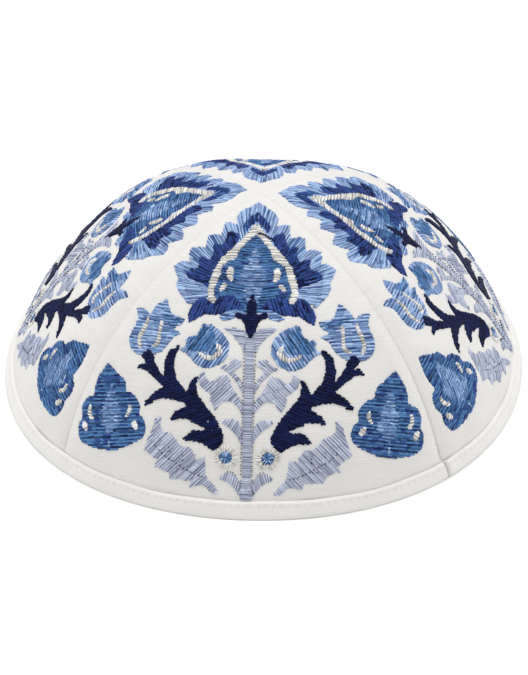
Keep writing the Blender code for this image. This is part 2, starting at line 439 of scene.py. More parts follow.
# The embroidery's chart. Every shape is drawn for the right half of a panel, as mm across
# and mm down by turns. A whole shape runs from top to bottom along its right side and is
# closed by its own mirror image; any other shape is stitched twice, once on each side.
WHOLE_SHAPES = {
    "palmette": (0,5.6, 1.2,6.8, 2.7,8.7, 4.7,10.3, 5.9,12.3, 6.6,14.8, 6.2,17, 8.4,17, 10.7,18,
        10.7,20.5, 11.1,23.1, 13.5,23.4, 16,24.7, 16.2,27, 16.3,29.4, 18.8,30, 22,31.8, 22.1,34,
        21.7,36.1, 24.4,37.3, 27.1,39.8, 25.4,42.1, 24.6,43, 25.2,45.1, 23.4,46.9, 21.6,48.1, 20,48.8,
        18.2,47.6, 14.2,44.8, 0,44.8),
    "band_top": (0,11.3, 1,11.4, 2.3,13.2, 3.4,15, 4.3,17.2, 4.4,18.9, 3.7,19.8, 2.6,18.4, 1.6,16.8,
        0.6,15.5, 0,15.2),
    "arch_area": (0,16.1, 0.8,16.8, 2,18.8, 3,20.7, 4.4,23.2, 5.9,25.5, 7.5,27.6, 9.1,29.8, 10.5,32,
        11.6,34.2, 12.5,36.7, 13.2,39.2, 13.7,41.8, 13.7,44, 13.2,45, 0,45.4),
    "heart": (0,20, 1.5,21.3, 2.7,23, 4.2,25.3, 5.2,27.6, 5.5,29, 6,30.1, 8,31, 9.7,33, 10.1,34.6,
        10.5,36.7, 11.2,38.3, 11.7,39.9, 12.2,41.8, 12,43.4, 10.8,43.9, 8.9,43, 6.9,42.9, 5,43.1,
        4.3,44.2, 4,46.2, 2.6,47, 0,47.2),
    "heart_light": (0,24.6, 0.8,25.8, 1.4,28.4, 1.8,31, 3.2,33.2, 4.2,34.8, 4,36.5, 5,38, 3.2,38.8,
        2.4,40.6, 2,43, 1.6,44, 0,44.2),
    "spindle": (0,40.8, 0.9,42, 1.5,44, 1.8,45.5, 1.5,46.8, 1.2,47.6, 2.2,47.9, 3.6,47.5, 4.9,47.7,
        5.2,48.6, 4.6,49, 3.3,49.2, 2.4,50.2, 1.8,51.7, 1.35,53.6, 0.7,54.8, 0,55.2),
    "stem": (0,52.8, 1.4,53, 1.5,56, 1.5,97, 1.8,99.5, 2.3,103.6, 2,104.8, 0,105.2),
}
SIDE_SHAPES = {
    "band_side": (5,22.6, 5.2,21.3, 6,20.4, 8.3,20.1, 9.2,21.3, 9.6,23.3, 10.1,25.2, 10.7,26.4,
        12.4,26.5, 13.8,27.3, 13.4,29.2, 13.7,31, 14.5,32.7, 16.6,32.4, 18.2,33.2, 17.9,35.3, 18.4,37,
        20.2,37.7, 22.1,39.9, 21.7,41, 19.2,41.4, 16.6,41.2, 15.1,41.3, 14.4,42.2, 13.6,41.2, 12.9,38,
        11.6,34.4, 9.6,30.6, 7.3,27.6, 5.7,25.2),
    "arch": (0,15.7, 0.9,16.5, 2.2,18.6, 3.2,20.5, 4.7,23, 6.2,25.3, 7.8,27.4, 9.4,29.6, 10.8,31.8,
        11.9,34, 12.8,36.5, 13.5,39, 14,41.7, 14,43.9, 13.4,45.5, 12.4,46.1, 11.5,45.6, 11.3,44.6,
        11.9,43.4, 12,41.8, 11.5,39.9, 11,38.3, 10.3,36.7, 9.9,34.6, 9.5,33, 7.8,31.2, 6,30.3, 5.4,29,
        5,27.6, 4,25.3, 2.5,23, 1.4,21.4, 0,20.2),
    "comma_upper": (6.1,33.2, 7.8,33.2, 8.6,35, 8.1,37, 6.9,37.9, 6,37.2, 6.1,35.5, 6,34.3),
    "comma_lower": (7.6,38.9, 9.1,39, 10,40, 10.4,41.5, 9.7,41.8, 9,41.2, 8.2,40.1),
    "crescent": (3.2,43.6, 5,42.8, 6.9,42.6, 8.9,42.7, 10.7,43.7, 11.4,45.4, 12.4,46, 13.4,45.4,
        14.6,44.7, 16.2,45.3, 17.5,46.7, 18.4,48.3, 19.4,50.2, 19.9,52.1, 19.7,53.7, 19.5,54.1,
        17.8,52.9, 16.3,51.6, 15.1,50.5, 14.3,50, 12.9,49.7, 11.1,49.2, 9.2,48.7, 8,47.8, 6.7,47,
        4.7,46.5, 3.5,46.3),
    "under_crescent": (1.8,46.4, 4.2,46.5, 6.4,47, 8,47.8, 9.2,48.8, 10,49.9, 8.4,50.4, 6.8,49.8,
        5.2,49.3, 5.2,48.5, 4.9,47.7, 3.6,47.5, 2.2,47.8, 1.4,47.5),
    "horn": (1.4,53.2, 2.4,52.3, 5.4,52.2, 8.6,52.5, 6.8,53.6, 5.1,54.8, 3.7,56.2, 2.5,57.9, 1.5,60.4),
    "fork": (2.2,62.8, 2.6,61.9, 4.4,61.3, 5.5,62, 6,63, 7.2,63.9, 9.2,64.5, 7.1,65.5, 5.5,66.5, 3.9,68,
        2.4,70.2, 1.5,71.8, 1.5,69.3, 3,66.9, 4.7,65.2, 3.6,63.9, 2.6,63.5),
    "wing_leaf": (1.5,74.8, 2.9,72.4, 4.5,70.3, 5.5,68.4, 5.9,67, 7.2,66.4, 9,67.3, 10.1,68.5,
        11.9,69.3, 13.1,68.5, 13.4,67.3, 13.7,66.6, 14.7,67.8, 15.4,69.6, 14.9,71.1, 13.4,72.3,
        11.6,73.1, 11.6,75, 11,76.5, 10,77.5, 9.2,76.3, 8.1,74.8, 6.2,74.1, 4.5,74.4, 3,75.6, 1.5,77.7),
    "low_leaf": (1.5,82.6, 2.3,80.9, 3.1,79.7, 4.6,79.2, 6.4,79.5, 8,80.5, 6.8,81.5, 5.3,82.3, 3.9,83.5,
        2.6,85.1, 1.5,87.3),
    "foot_leaf": (1.6,99.6, 2.6,97.7, 3.7,96.5, 5.1,96.1, 6.2,96.2, 7.2,97, 8.1,98.2, 7.7,98.7,
        6.2,99.2, 5,100, 3.9,101.1, 2.9,102.5, 2.3,103.8, 1.9,101.5),
    "bud": (12.2,52.9, 14,52.9, 15.1,53.3, 15.3,54.6, 15.7,55.9, 16.4,57.1, 17.8,58, 19.3,58.6, 20,59.1,
        19.9,60.2, 20.1,61.6, 21.8,62.7, 21.1,63.4, 19.6,63.4, 18.2,64.4, 16.9,65.5, 15.5,65.9, 13.7,66,
        11.9,65.5, 10.5,64.8, 9.1,63.8, 7.9,62.5, 7,61, 6.4,59.3, 6.3,57.5, 6.8,56.2, 7.5,55.1, 9,53.9,
        10.7,53.1),
    "bud_petals": (10.9,54.3, 12.6,53.3, 15,53.4, 15.3,54.7, 15.8,56, 16.5,57.2, 18,58.1, 19.9,59.1,
        19.8,60.4, 19.9,61.6, 18.4,62.7, 16.6,61.9, 15,61.4, 13.2,61.4, 11.2,60.6, 10.5,58.6,
        10.4,56.3),
    "bud_crescent": (10.2,57.7, 9,57.8, 8.6,58.8, 8.3,60, 8.9,61.4, 10.4,62.6, 12,63.3, 13.9,63.2,
        15.4,62.6, 16.1,61.8, 15,61.6, 13.4,62, 11.8,61.8, 10.6,61, 10,60.1, 10.1,59.1, 10.4,58.2),
    "tulip": (27.7,50.5, 29.3,51.8, 30.6,53, 31.7,54.4, 32.6,55.8, 33.3,57.1, 34.6,56.7, 36.3,56.6,
        37.9,56.9, 39.2,57.6, 38.5,58.8, 38.1,60.4, 38.5,61.9, 39.2,63.4, 40,65.2, 40.2,67, 39.9,68.5,
        38.9,69.6, 37.4,70, 35.7,69.7, 34,69, 32.2,68.2, 30.6,67.6, 29.4,66.8, 28,65.8, 27,64.6,
        25.9,63.2, 25.2,61.7, 24.2,60.2, 22.7,59, 21.1,57.8, 22.9,58.1, 24.6,57.9, 23.8,57.1, 22.5,56.1,
        21.5,54.9, 20.6,53.4, 22.1,53.7, 24,54.1, 25.5,54.1, 26.1,53.2, 26.7,51.9),
    "tulip_shade": (22,54.3, 24,54.7, 26.5,54.3, 29,55, 28.6,56.4, 26.6,56.9, 24.6,56.9, 23.2,56.3),
    "stroke_inner": (28,57.3, 29.1,57.6, 29.6,58.9, 29.6,60.2, 29.8,61.8, 29.9,63.3, 30.5,64.5,
        31.6,65.5, 32,66.1, 30.1,65.5, 29,64.5, 28.4,63, 28.4,61.5, 28.5,60, 28.2,58.8),
    "stroke_outer": (33.4,57.8, 34.1,58.3, 34.5,59.4, 35.2,61, 36,62.6, 36.7,64, 37,65.5, 36.9,66.9,
        36.3,68, 35.4,67.9, 35,67.2, 35.6,66.2, 35.6,65, 34.9,63.5, 34.1,61.9, 33.5,60),
    "thorn_branch": (10.7,89.8, 11.8,89.1, 13.1,88.4, 15,88, 17,88.1, 18.8,88.5, 20,88.9, 19,87.5,
        17.9,86.1, 16.6,85.1, 15.2,84.5, 13.4,84.2, 12.6,83.7, 13.6,83.2, 15,82.8, 17.4,82.7, 17.2,82,
        19.2,82.2, 20.2,82.5, 21.9,83, 23,83.7, 24.3,84.1, 23.2,82.5, 22.5,81.4, 21.2,80.2, 19.8,79,
        18.9,78.3, 19.9,77.7, 22.7,77.7, 24.5,78.1, 26.3,78.6, 28.1,79.5, 29.6,80.5, 30.9,81.7, 32.8,83,
        32.5,81.7, 31.5,80.3, 30.4,78.9, 29.1,77.6, 27.9,76.6, 26.9,75.8, 26.6,75.2, 28,74.8, 29.5,74.1,
        31.1,73.5, 32.7,73.2, 34.2,73.2, 35.1,73.3, 36.3,73.9, 35.5,72.6, 34.7,71.9, 33.7,71.4,
        32.9,71.1, 33.6,70.6, 35.1,69.7, 33.9,68.1, 32.2,66.9, 31.2,67.1, 30.5,68.2, 30,69.6, 28.7,70.9,
        27.4,72, 26.6,72.4, 26.6,71.2, 26.8,69.7, 26.5,67.9, 25.9,65.8, 25.1,64.4, 23.9,63.3, 21.9,62,
        22.2,63.1, 22.9,64.4, 23.4,66.2, 23.4,68.5, 23,70, 22.2,71.7, 21.1,72.4, 19.9,73.5, 19,74.3,
        18.6,73.2, 18.1,71.9, 17.4,70.5, 16.4,69.4, 15.4,68.4, 15.8,69.9, 16.1,71.3, 15.8,73, 15,74.5,
        13.4,76.1, 11.8,77.5, 10.2,79.1, 8.9,81, 7.8,83, 7.2,84.6, 7.3,86.3, 7.8,87.4, 9,88.7),
    "foot_sprig": (8.8,102.9, 9.2,102.2, 10.1,100.9, 11.2,99.7, 12.2,98.4, 12.5,96.9, 12.5,95,
        12.9,93.2, 12.9,92.2, 14,92.9, 15.4,93.5, 15.8,92, 16.8,91, 18,89.9, 18.6,90.4, 20,90.4,
        21.2,89.5, 22.3,88.5, 23.4,87.7, 24.9,87.8, 26.3,87.5, 27,86.4, 26.9,84.8, 26.6,83.8, 27.7,84.7,
        28.7,85.5, 29.3,86.8, 29.7,88.2, 30.2,89.7, 30.9,91.1, 31.3,92.6, 31.6,93.9, 32.6,95.5, 30.9,96,
        29.4,96.6, 28,97.3, 29.2,99.6, 27.6,99.2, 26,99.5, 24.6,99.8, 23.7,101.8, 22.3,101.3, 20,101.1,
        18.4,100.8, 17.2,100.9, 17.3,103.1, 16,102.3, 14.8,101.6, 13.4,101.4, 12.2,101.8, 11.3,102.8,
        10.3,103.6, 9.3,103.6),
    "corner_leaf": (46.2,77.2, 47.7,77, 48.6,78.2, 49.3,79.4, 50.2,80.8, 51.1,82.2, 51.7,83.6,
        52.1,85.2, 52.1,86.8, 52.2,87.7, 53.3,88.4, 54.6,89.2, 55.8,90.3, 56.5,91.6, 56.9,93, 56.7,94.5,
        56.5,95.6, 57.3,96.9, 57.7,98.3, 57.6,99.8, 57,101.1, 55.9,101.8, 53.9,101.7, 52.1,101.5,
        50.3,101.2, 48.5,100.8, 46.9,100.4, 45.3,99.9, 43.9,99.5, 42.5,98.9, 41.1,98.1, 39.8,97.3,
        38.5,96.5, 37.3,95.4, 36,94.5, 34.6,93.6, 33.2,92.3, 32.3,91.1, 31.8,89.8, 31.9,88.6, 32.3,87.3,
        33.2,86.5, 34.4,86.1, 34.3,84.8, 34.1,83.8, 34.8,82.6, 35.9,81.8, 37.4,81.3, 38.5,81.5,
        39.5,81.8, 39.7,80.7, 40.1,79.4, 40.8,78.6, 42,78.5, 43.2,78.3, 44.3,77.7),
    "corner_light": (45,81.3, 46,82.6, 46.6,84.8, 47.2,87.2, 48.2,89.2, 48.8,90.8, 47.9,92.8, 46.4,94.8,
        45.2,96, 43.6,94, 42.1,92, 40.9,90.8, 40.6,89.5, 41.4,88.3, 41.8,86.4, 42.6,85.2, 43.8,83.9),
    "corner_bloom": (44.6,80.9, 46.3,82.8, 47.3,85.2, 48.6,87.4, 50.4,89.2, 51.2,91.2, 50,93.4,
        47.8,95.2, 45.4,96, 43,94.8, 40.8,92.8, 39.4,90.8, 39.8,88.8, 41.2,86.8, 42.4,84),
    "dash_inner": (36.8,84.9, 37.8,84.5, 38.4,85, 38.6,86.2, 38.7,87.3, 39.3,88.4, 38.7,88.5, 37.8,87.5,
        37.1,86.3),
    "dash_outer": (52.5,90.8, 53.6,90.9, 54.1,92.2, 54.2,93.4, 53.2,94.3, 51.7,94.1, 51,93.4, 52.2,93.1,
        52.6,92.1),
    "base_vein": (44.4,96.6, 45.1,96.7, 45.1,98.8, 44.3,98.7),
}


def ring(centre, radius, sides=20):
    """A round outline."""
    turn = np.linspace(0, 2 * math.pi, sides, endpoint=False)
    return [(centre[0] + radius * math.cos(a), centre[1] + radius * math.sin(a)) for a in turn]


ROSETTE = (6.4, 91.3)
SPOKES = 34
SPOKE_ENDS = (1.7, 3.9)
SPOKE_WIDTH = 0.42
SPOKE_TURN = 0.05           # radians by which a spoke's ends wander
FLECK_CHANCE = 0.3
SIDE_SHAPES["rosette_eye"] = ring(ROSETTE, 1.95)
SIDE_SHAPES["dot_inner"] = ring((35.6, 89.5), 1.3)
SIDE_SHAPES["dot_outer"] = ring((54.8, 97.0), 1.25)

FAN_CENTRE = (0.0, 38.0)    # the palmette's stitches radiate from here

# How each shape is filled: its thread and the stitches' run in degrees (0 across, 90 down)
# or the centre they fan from; then in mm the pitch of the rows, the longest stitch, how far
# the ends wander and how high the stitches lie; last the thread mixed in, how much of it,
# and the shapes left out.
Fill = namedtuple("Fill", "shape thread run pitch longest ragged lift mixed share without",
                  defaults=(None, 0, ()))


def pale(shape, run, ragged=0.2):
    """A small raised shape in cream."""
    return Fill(shape, "cream", run, 0.40, 3, ragged, 0.22)


def leafy(shape, run, longest=5, ragged=0.25, without=()):
    """A flat shape in lavender."""
    return Fill(shape, "lavender", run, 0.38, longest, ragged, 0, without=without)


FILLS = (
    Fill("palmette", "light_blue", FAN_CENTRE, 0.43, 4.8, 0.3, 0, "mid_blue", 0.06,
         ("band_top", "band_side", "arch_area", "crescent")),
    Fill("band_top", "royal_blue", FAN_CENTRE, 0.45, 2.3, 1, 0.04, "mid_blue", 0.10, ("arch_area",)),
    Fill("band_side", "royal_blue", FAN_CENTRE, 0.45, 2.3, 0.35, 0.04, "navy", 0.20, ("arch_area",)),
    Fill("arch", "cream", 16, 0.44, 5, 0.5, 0.20),
    Fill("heart", "mid_blue", 0, 0.45, 2.4, 0.2, 0, "royal_blue", 0.16,
         ("heart_light", "comma_upper", "comma_lower", "spindle")),
    Fill("heart_light", "sky_blue", 0, 0.45, 2.2, 1.4, 0.03, "light_blue", 0.36, ("spindle",)),
    pale("comma_upper", 10, 0.25),
    pale("comma_lower", 10, 0.25),
    Fill("crescent", "royal_blue", 70, 0.45, 2.3, 0.3, 0.05, "navy", 0.12, ("spindle",)),
    Fill("under_crescent", "light_blue", 5, 0.44, 3, 0.5, 0, "sky_blue", 0.52, ("spindle",)),
    Fill("spindle", "navy", 0, 0.42, 3, 0.15, 0.20),
    leafy("horn", 0, without=("spindle",)),
    Fill("stem", "lavender", 0, 0.36, 4, 0.08, 0.05, without=("spindle",)),
    leafy("fork", 40),
    leafy("wing_leaf", 48, 6, 0.3),
    leafy("low_leaf", 60),
    leafy("foot_leaf", 75),
    Fill("bud", "light_blue", 58, 0.44, 4.2, 0.25, 0, "sky_blue", 0.35, ("bud_petals", "bud_crescent")),
    Fill("bud_petals", "mid_blue", 58, 0.44, 2.8, 1.2, 0.03, "sky_blue", 0.26, ("bud_crescent",)),
    pale("bud_crescent", 85, 0.3),
    Fill("tulip", "light_blue", 18, 0.45, 4.2, 0.3, 0, "sky_blue", 0.38,
         ("tulip_shade", "stroke_inner", "stroke_outer", "thorn_branch")),
    Fill("tulip_shade", "mid_blue", 18, 0.46, 2.2, 1.5, 0.03, "sky_blue", 0.50),
    pale("stroke_inner", 15),
    pale("stroke_outer", 15),
    Fill("thorn_branch", "navy", 30, 0.42, 3.4, 0.35, 0.06),
    Fill("rosette_eye", "mid_blue", ROSETTE, 0.42, 2, 0.3, 0.03, "light_blue", 0.40),
    leafy("foot_sprig", 50, 6, 0.45),
    Fill("corner_leaf", "mid_blue", 22, 0.46, 2.3, 0.25, 0, "royal_blue", 0.20,
         ("corner_light", "dash_inner", "dash_outer", "dot_inner", "dot_outer", "base_vein")),
    Fill("corner_light", "sky_blue", 22, 0.45, 2, 1.4, 0.03, "light_blue", 0.16),
    pale("dash_inner", 10),
    pale("dash_outer", 10),
    pale("dot_inner", 40),
    pale("dot_outer", 40),
    Fill("base_vein", "light_blue", 20, 0.46, 3, 0.2, 0.20),
)

# A wider light middle for the corner leaves of every panel but the front one.
BLOOM = Fill("corner_bloom", "sky_blue", 65, 0.42, 3, 1.2, 0.10, "light_blue", 0.25)

# Fine dark stitches along lines: veins and the needle marks beside the stem. The numbers are
# the line's points, across and down by turns, then each stitch's length, the gap after it,
# how high it lies, and its thread.
Line = namedtuple("Line", "points stitch gap lift thread", defaults=(0.12, "slate"))
LINES = (
    Line((12.8,98.6, 14.8,98.5, 17,97.9, 19.4,97, 22.4,95.9, 25,95.1, 26.9,94, 28.8,92.7), 0.9, 0.3),
    Line((19.5,92.6, 19.8,94, 19.6,95.8), 0.8, 0.4),
    Line((24.1,91.6, 23.8,93, 23.8,94.6), 0.8, 0.4),
    Line((17.4,97.6, 20,97.4, 24,97.9), 0.5, 1.2),
    Line((1.7,57, 1.7,97.5), 0.32, 0.55),
    Line((1.7,98, 2,100, 2.3,103.6), 0.32, 0.5),
    Line((1.9,74.2, 4.4,71.8, 7.5,70.6, 10,70.8), 0.3, 0.7),
    Line((1.9,68.6, 3.4,66.8, 5.2,65.6), 0.3, 0.7),
    Line((3,97, 4.4,95.8, 6,95.8), 0.4, 0.5),
)
LOOSE_THREAD = Line((0.4,19.9, 1.8,20, 3.1,20.7, 3.6,21.5, 5.4,22.7), 1.5, -0.35, 0.8, "navy")
PALE_SPECK = Line((11.6,80.8, 12.6,82), 0.6, 0.4, 0.3, "cream")
LONG_STITCH = 0.5
LINE_WIDTHS = (0.34, 0.48)  # of short and of long stitches
LINE_TONE = 0.6


def shape_outlines(name):
    """The closed outlines of a shape: one if it is whole, or one for each side."""
    whole = name in WHOLE_SHAPES
    numbers = WHOLE_SHAPES[name] if whole else SIDE_SHAPES[name]
    right = np.array(numbers, dtype=float).reshape(-1, 2)
    left = right * (-1.0, 1.0)
    if whole:
        return [(1, np.concatenate((right, left[::-1])))]
    return [(1, right), (-1, left)]


def line_spans(outline, origin, direction):
    """Where a line runs inside a closed outline, as pairs of distances along it."""
    following = np.roll(outline, -1, axis=0)
    normal = np.array((-direction[1], direction[0]))
    here = (outline - origin) @ normal
    there = (following - origin) @ normal
    crosses = (here > 0) != (there > 0)
    share = here[crosses] / (here[crosses] - there[crosses])
    meets = outline[crosses] + (following[crosses] - outline[crosses]) * share[:, None]
    return np.sort((meets - origin) @ direction).reshape(-1, 2).tolist()


def cut_spans(spans, holes):
    """What is left of the spans outside the holes, running a little way under them."""
    for low, high in holes:
        low, high = low + RUN_UNDER, high - RUN_UNDER
        if high <= low:
            continue
        kept = []
        for start, end in spans:
            if high <= start or low >= end:
                kept.append((start, end))
                continue
            if low > start:
                kept.append((start, low))
            if high < end:
                kept.append((high, end))
        spans = kept
    return spans


def joined(spans):
    """The spans with those that overlap made one."""
    whole = []
    for low, high in sorted(spans):
        if whole and low <= whole[-1][1]:
            whole[-1] = (whole[-1][0], max(high, whole[-1][1]))
        else:
            whole.append((low, high))
    return whole


def stitch_lines(outline, side, run, pitch):
    """Lines to stitch along: origin, direction, nearest distance to use, and a row's painted shading: 1
    lighter, -1 darker, 0 neither.
    """
    if isinstance(run, tuple):
        centre = np.array(run) * (side, 1.0)
        away = outline - centre
        distance = np.hypot(away[:, 0], away[:, 1])
        near, far = distance.min(), distance.max()
        middle = (near + far) / 2
        step = pitch / max(middle * 0.85, 1.0)
        for order, turn in enumerate(np.arange(0, 2 * math.pi, step / 2)):
            direction = np.array((math.cos(turn), math.sin(turn)))
            if order % 2:
                yield centre, direction, middle * 1.15, 0.0
            else:
                yield centre, direction, 0.05, 1 - order % 4
        return
    turn = math.radians(run if side > 0 else 180 - run)
    direction = np.array((math.cos(turn), math.sin(turn)))
    normal = np.array((-direction[1], direction[0]))
    reach = outline @ normal
    for order, offset in enumerate(np.arange(reach.min() + pitch / 2, reach.max(), pitch)):
        yield normal * offset, direction, -math.inf, 1 - 2 * (order % 2)


def fill_spans(fill):
    """Every stretch of a fill's stitch lines, as origin, direction, start, end and the row's painted
    shading.
    """
    spans = []
    holes = [outline for name in fill.without for _, outline in shape_outlines(name)]
    for side, outline in shape_outlines(fill.shape):
        for origin, direction, nearest, tone_and_shade in stitch_lines(outline, side, fill.run, fill.pitch):
            inside = line_spans(outline, origin, direction)
            covered = [span for hole in holes for span in line_spans(hole, origin, direction)]
            for start, end in cut_spans(inside, joined(covered)):
                start = max(start, nearest)
                if end - start > SHORTEST:
                    spans.append((origin, direction, start, end, tone_and_shade))
    return spans


SPANS = [(fill, fill_spans(fill)) for fill in FILLS]
BLOOM_SPANS = fill_spans(BLOOM)
STITCHED = stitched_map()


def add_stitches(threads, fill, spans, rng):
    """Cut a fill's stretches into stitches and sort them by thread."""
    for origin, direction, start, end, row_tone_and_shade in spans:
        first = start - rng.uniform(*END_SPREAD) * fill.ragged
        last = end + rng.uniform(*END_SPREAD) * fill.ragged
        count = max(1, math.ceil((last - first) / fill.longest))
        wander = rng.uniform(-MARK_WANDER, MARK_WANDER, count - 1)
        marks = first + (last - first) * (np.arange(1, count) + wander) / count
        marks = [first, *marks, last]
        normal = np.array((-direction[1], direction[0]))
        off_line = rng.normal(0.0, OFF_LINE)
        # Painted shade on every other row; the rest of the spread is tone that differs at random.
        row_tone_and_shade = MEAN_TONE + ROW_CONTRAST * row_tone_and_shade + rng.uniform(-ROW_SPREAD, ROW_SPREAD)
        for one, two in zip(marks[:-1], marks[1:]):
            tone_and_shade = row_tone_and_shade + rng.uniform(-STITCH_SPREAD, STITCH_SPREAD)
            thread = fill.mixed if rng.random() < fill.share else fill.thread
            one = one - (OVERLAP if one > first else 0.0)
            two = two + (OVERLAP if two < last else 0.0)
            sway = off_line + rng.normal(0.0, SWAY, 2)
            head = origin + direction * one + normal * sway[0]
            tail = origin + direction * two + normal * sway[1]
            shares = ((one - first) / (last - first), (two - first) / (last - first))
            threads.setdefault(thread, []).append(
                (*head, *tail, *shares, THREAD_WIDTH * fill.pitch, fill.lift, tone_and_shade))


def add_line(threads, line, side, rng):
    """Stitch a line with short stitches of its thread."""
    points = np.array(line.points).reshape(-1, 2) * (side, 1.0)
    steps = np.hypot(*np.diff(points, axis=0).T)
    run = np.concatenate(([0.0], np.cumsum(steps)))
    width = LINE_WIDTHS[line.stitch > LONG_STITCH]
    at = rng.uniform(0, 0.4)
    while at + line.stitch < run[-1]:
        ends = np.array((at, at + line.stitch * rng.uniform(0.7, 1.1)))
        across = np.interp(ends, run, points[:, 0]) + rng.uniform(-0.08, 0.08, 2)
        down = np.interp(ends, run, points[:, 1])
        threads.setdefault(line.thread, []).append(
            (across[0], down[0], across[1], down[1], 0.35, 0.65, width, line.lift, LINE_TONE))
        at += line.stitch + line.gap * rng.uniform(0.6, 1.8)


def add_rosette(threads, side, rng):
    """The pale loops round a small flower's eye, with a few dark flecks between."""
    centre = np.array(ROSETTE) * (side, 1.0)
    for turn in np.linspace(0, 2 * math.pi, SPOKES, endpoint=False):
        turn = turn + rng.uniform(-SPOKE_TURN, SPOKE_TURN)
        head = centre + SPOKE_ENDS[0] * np.array((math.cos(turn), math.sin(turn)))
        reach = SPOKE_ENDS[1] + rng.uniform(-0.35, 0.3)
        turn = turn + rng.uniform(-SPOKE_TURN, SPOKE_TURN)
        tail = centre + reach * np.array((math.cos(turn), math.sin(turn)))
        threads.setdefault("cream", []).append(
            (*head, *tail, 0.2, 0.8, SPOKE_WIDTH, 0.0, rng.uniform(0.7, 1.2)))
        if rng.random() < FLECK_CHANCE:
            tail = head + (tail - head) * rng.uniform(0.2, 0.4)
            fleck = (*head, *tail, 0.4, 0.6, 0.25, 0.1, LINE_TONE)
            threads.setdefault("slate", []).append(fleck)


# A strand's section and how it rises from the cloth and dives back into it.
ALONG = np.array((0.0, 0.1, 0.5, 0.9, 1.0))
RISE = np.array((-0.4, 0.75, 1.0, 0.75, -0.4))
ACROSS = np.array((-1.0, -0.55, 0.0, 0.55, 1.0))
ROUND = np.array((-0.3, 0.68, 1.0, 0.68, -0.3))
VALLEY_SHADE = 0.80         # painted shade: how much darker a strand's flanks are than its back
HEIGHT_RANGE = (0.75, 1.25)
WIDTH_RANGE = (0.85, 1.12)


def strand_mesh(stitches, panel, rng):
    """Points, faces, tones with painted shade, and thread places of many strands laid on a panel."""
    table = np.array(stitches)
    count = len(table)
    start, end = table[:, 0:2], table[:, 2:4]
    length = np.hypot(*(end - start).T)
    direction = (end - start) / length[:, None]
    normal = np.stack((-direction[:, 1], direction[:, 0]), axis=-1)
    place = start[:, None] + (end - start)[:, None] * ALONG[None, :, None]
    share = table[:, 4, None] + (table[:, 5] - table[:, 4])[:, None] * ALONG[None]
    padding = PADDING * (1 - (2 * np.clip(share, 0, 1) - 1) ** 4) + table[:, 7, None]
    height = THREAD_HEIGHT * rng.uniform(*HEIGHT_RANGE, count)
    top = RISE[None] * (height[:, None] + padding)
    width = table[:, 6] / 2 * rng.uniform(*WIDTH_RANGE, count)
    offset = normal[:, None, None] * (width[:, None, None] * ACROSS[None, None])[..., None]
    flat = place[:, :, None] + offset
    bend = height[:, None, None] * (ROUND[None, None] - 1)
    lift = top[:, :, None] + bend
    flat = flat + PATTERN_SHIFT[panel]
    points = on_panel(flat[..., 0], flat[..., 1], lift, panel)
    shape = flat.shape[:3]
    # Painted shade: each strand is darker on its flanks, where shade falls between strands.
    tone_and_shade = table[:, 8, None, None] - VALLEY_SHADE * ACROSS[None, None] ** 2
    tones_and_shades = np.broadcast_to(np.clip(tone_and_shade, 0, 1), shape)
    along = np.broadcast_to((length[:, None] * ALONG[None])[:, :, None], shape)
    side = np.broadcast_to((width[:, None] * ACROSS[None])[:, None], shape)
    chance = np.broadcast_to(rng.uniform(0, 9, count)[:, None, None], shape)
    number = np.arange(count * len(ALONG) * len(ACROSS)).reshape(count, len(ALONG), len(ACROSS))
    values = {"tone_and_shade": tones_and_shades, "thread_mm": np.stack((along, side, chance), axis=-1)}
    return points, cell_faces(number), values


def make_embroidery(panel, materials):
    """All the stitching of one panel, a piece for each thread."""
    rng = np.random.default_rng(EMBROIDERY_SEED + panel)
    threads = {}
    for fill, spans in SPANS:
        add_stitches(threads, fill, spans, rng)
    if panel != 0:
        add_stitches(threads, BLOOM, BLOOM_SPANS, rng)
    for line in LINES:
        for side in (1, -1):
            add_line(threads, line, side, rng)
    for side in (1, -1):
        add_rosette(threads, side, rng)
    if panel == 0:
        add_line(threads, LOOSE_THREAD, 1, rng)
        add_line(threads, PALE_SPECK, -1, rng)
    for thread, stitches in threads.items():
        points, faces, values = strand_mesh(stitches, panel, rng)
        name = "stitching_" + PANELS[panel].replace("panel_", "") + "_" + thread
        new_piece(name, turned(points, panel), faces, materials[thread], values)


# Materials.
# The darkest colour of the cloth's painted shade.
PAINTED_SHADE_COLOUR = (128, 124, 118)
FOLD_SHADE = 1.6            # how much darker the painted shade makes the cloth in seams, needle holes, the binding's joint and above the binding
RIB_PITCH = 0.68            # mm between the cloth's ribs


def linear(red, green, blue):
    """A screen colour as the linear one that shaders take."""
    parts = (red / 255, green / 255, blue / 255)
    return tuple(((c + 0.055) / 1.055) ** 2.4 if c > 0.04045 else c / 12.92 for c in parts) + (1.0,)


def new_material(name, **inputs):
    """A material's nodes and shader, with constant inputs; _ stands for a space."""
    material = bpy.data.materials.new(name)
    material.use_nodes = True
    shader = material.node_tree.nodes["Principled BSDF"]
    for title, value in inputs.items():
        shader.inputs[title.replace("_", " ")].default_value = value
    return material, material.node_tree, shader


def add_node(tree, kind, vector=None, **settings):
    """A node with its settings and constant inputs, fed with a vector if one is given."""
    node = tree.nodes.new("ShaderNode" + kind)
    for key, value in settings.items():
        if key in node.inputs:
            node.inputs[key].default_value = value
        else:
            setattr(node, key, value)
    if vector is not None:
        tree.links.new(vector, node.inputs["Vector"])
    return node


def attribute(tree, title, output="Fac"):
    """A value kept at a mesh's points."""
    return add_node(tree, "Attribute", attribute_name=title).outputs[output]


def noise_on(tree, place, stretch, scale, detail=2.0):
    """Noise over stretched cloth coordinates."""
    place = add_node(tree, "Mapping", place, Scale=stretch).outputs[0]
    return add_node(tree, "TexNoise", place, Scale=scale, Detail=detail).outputs["Fac"]


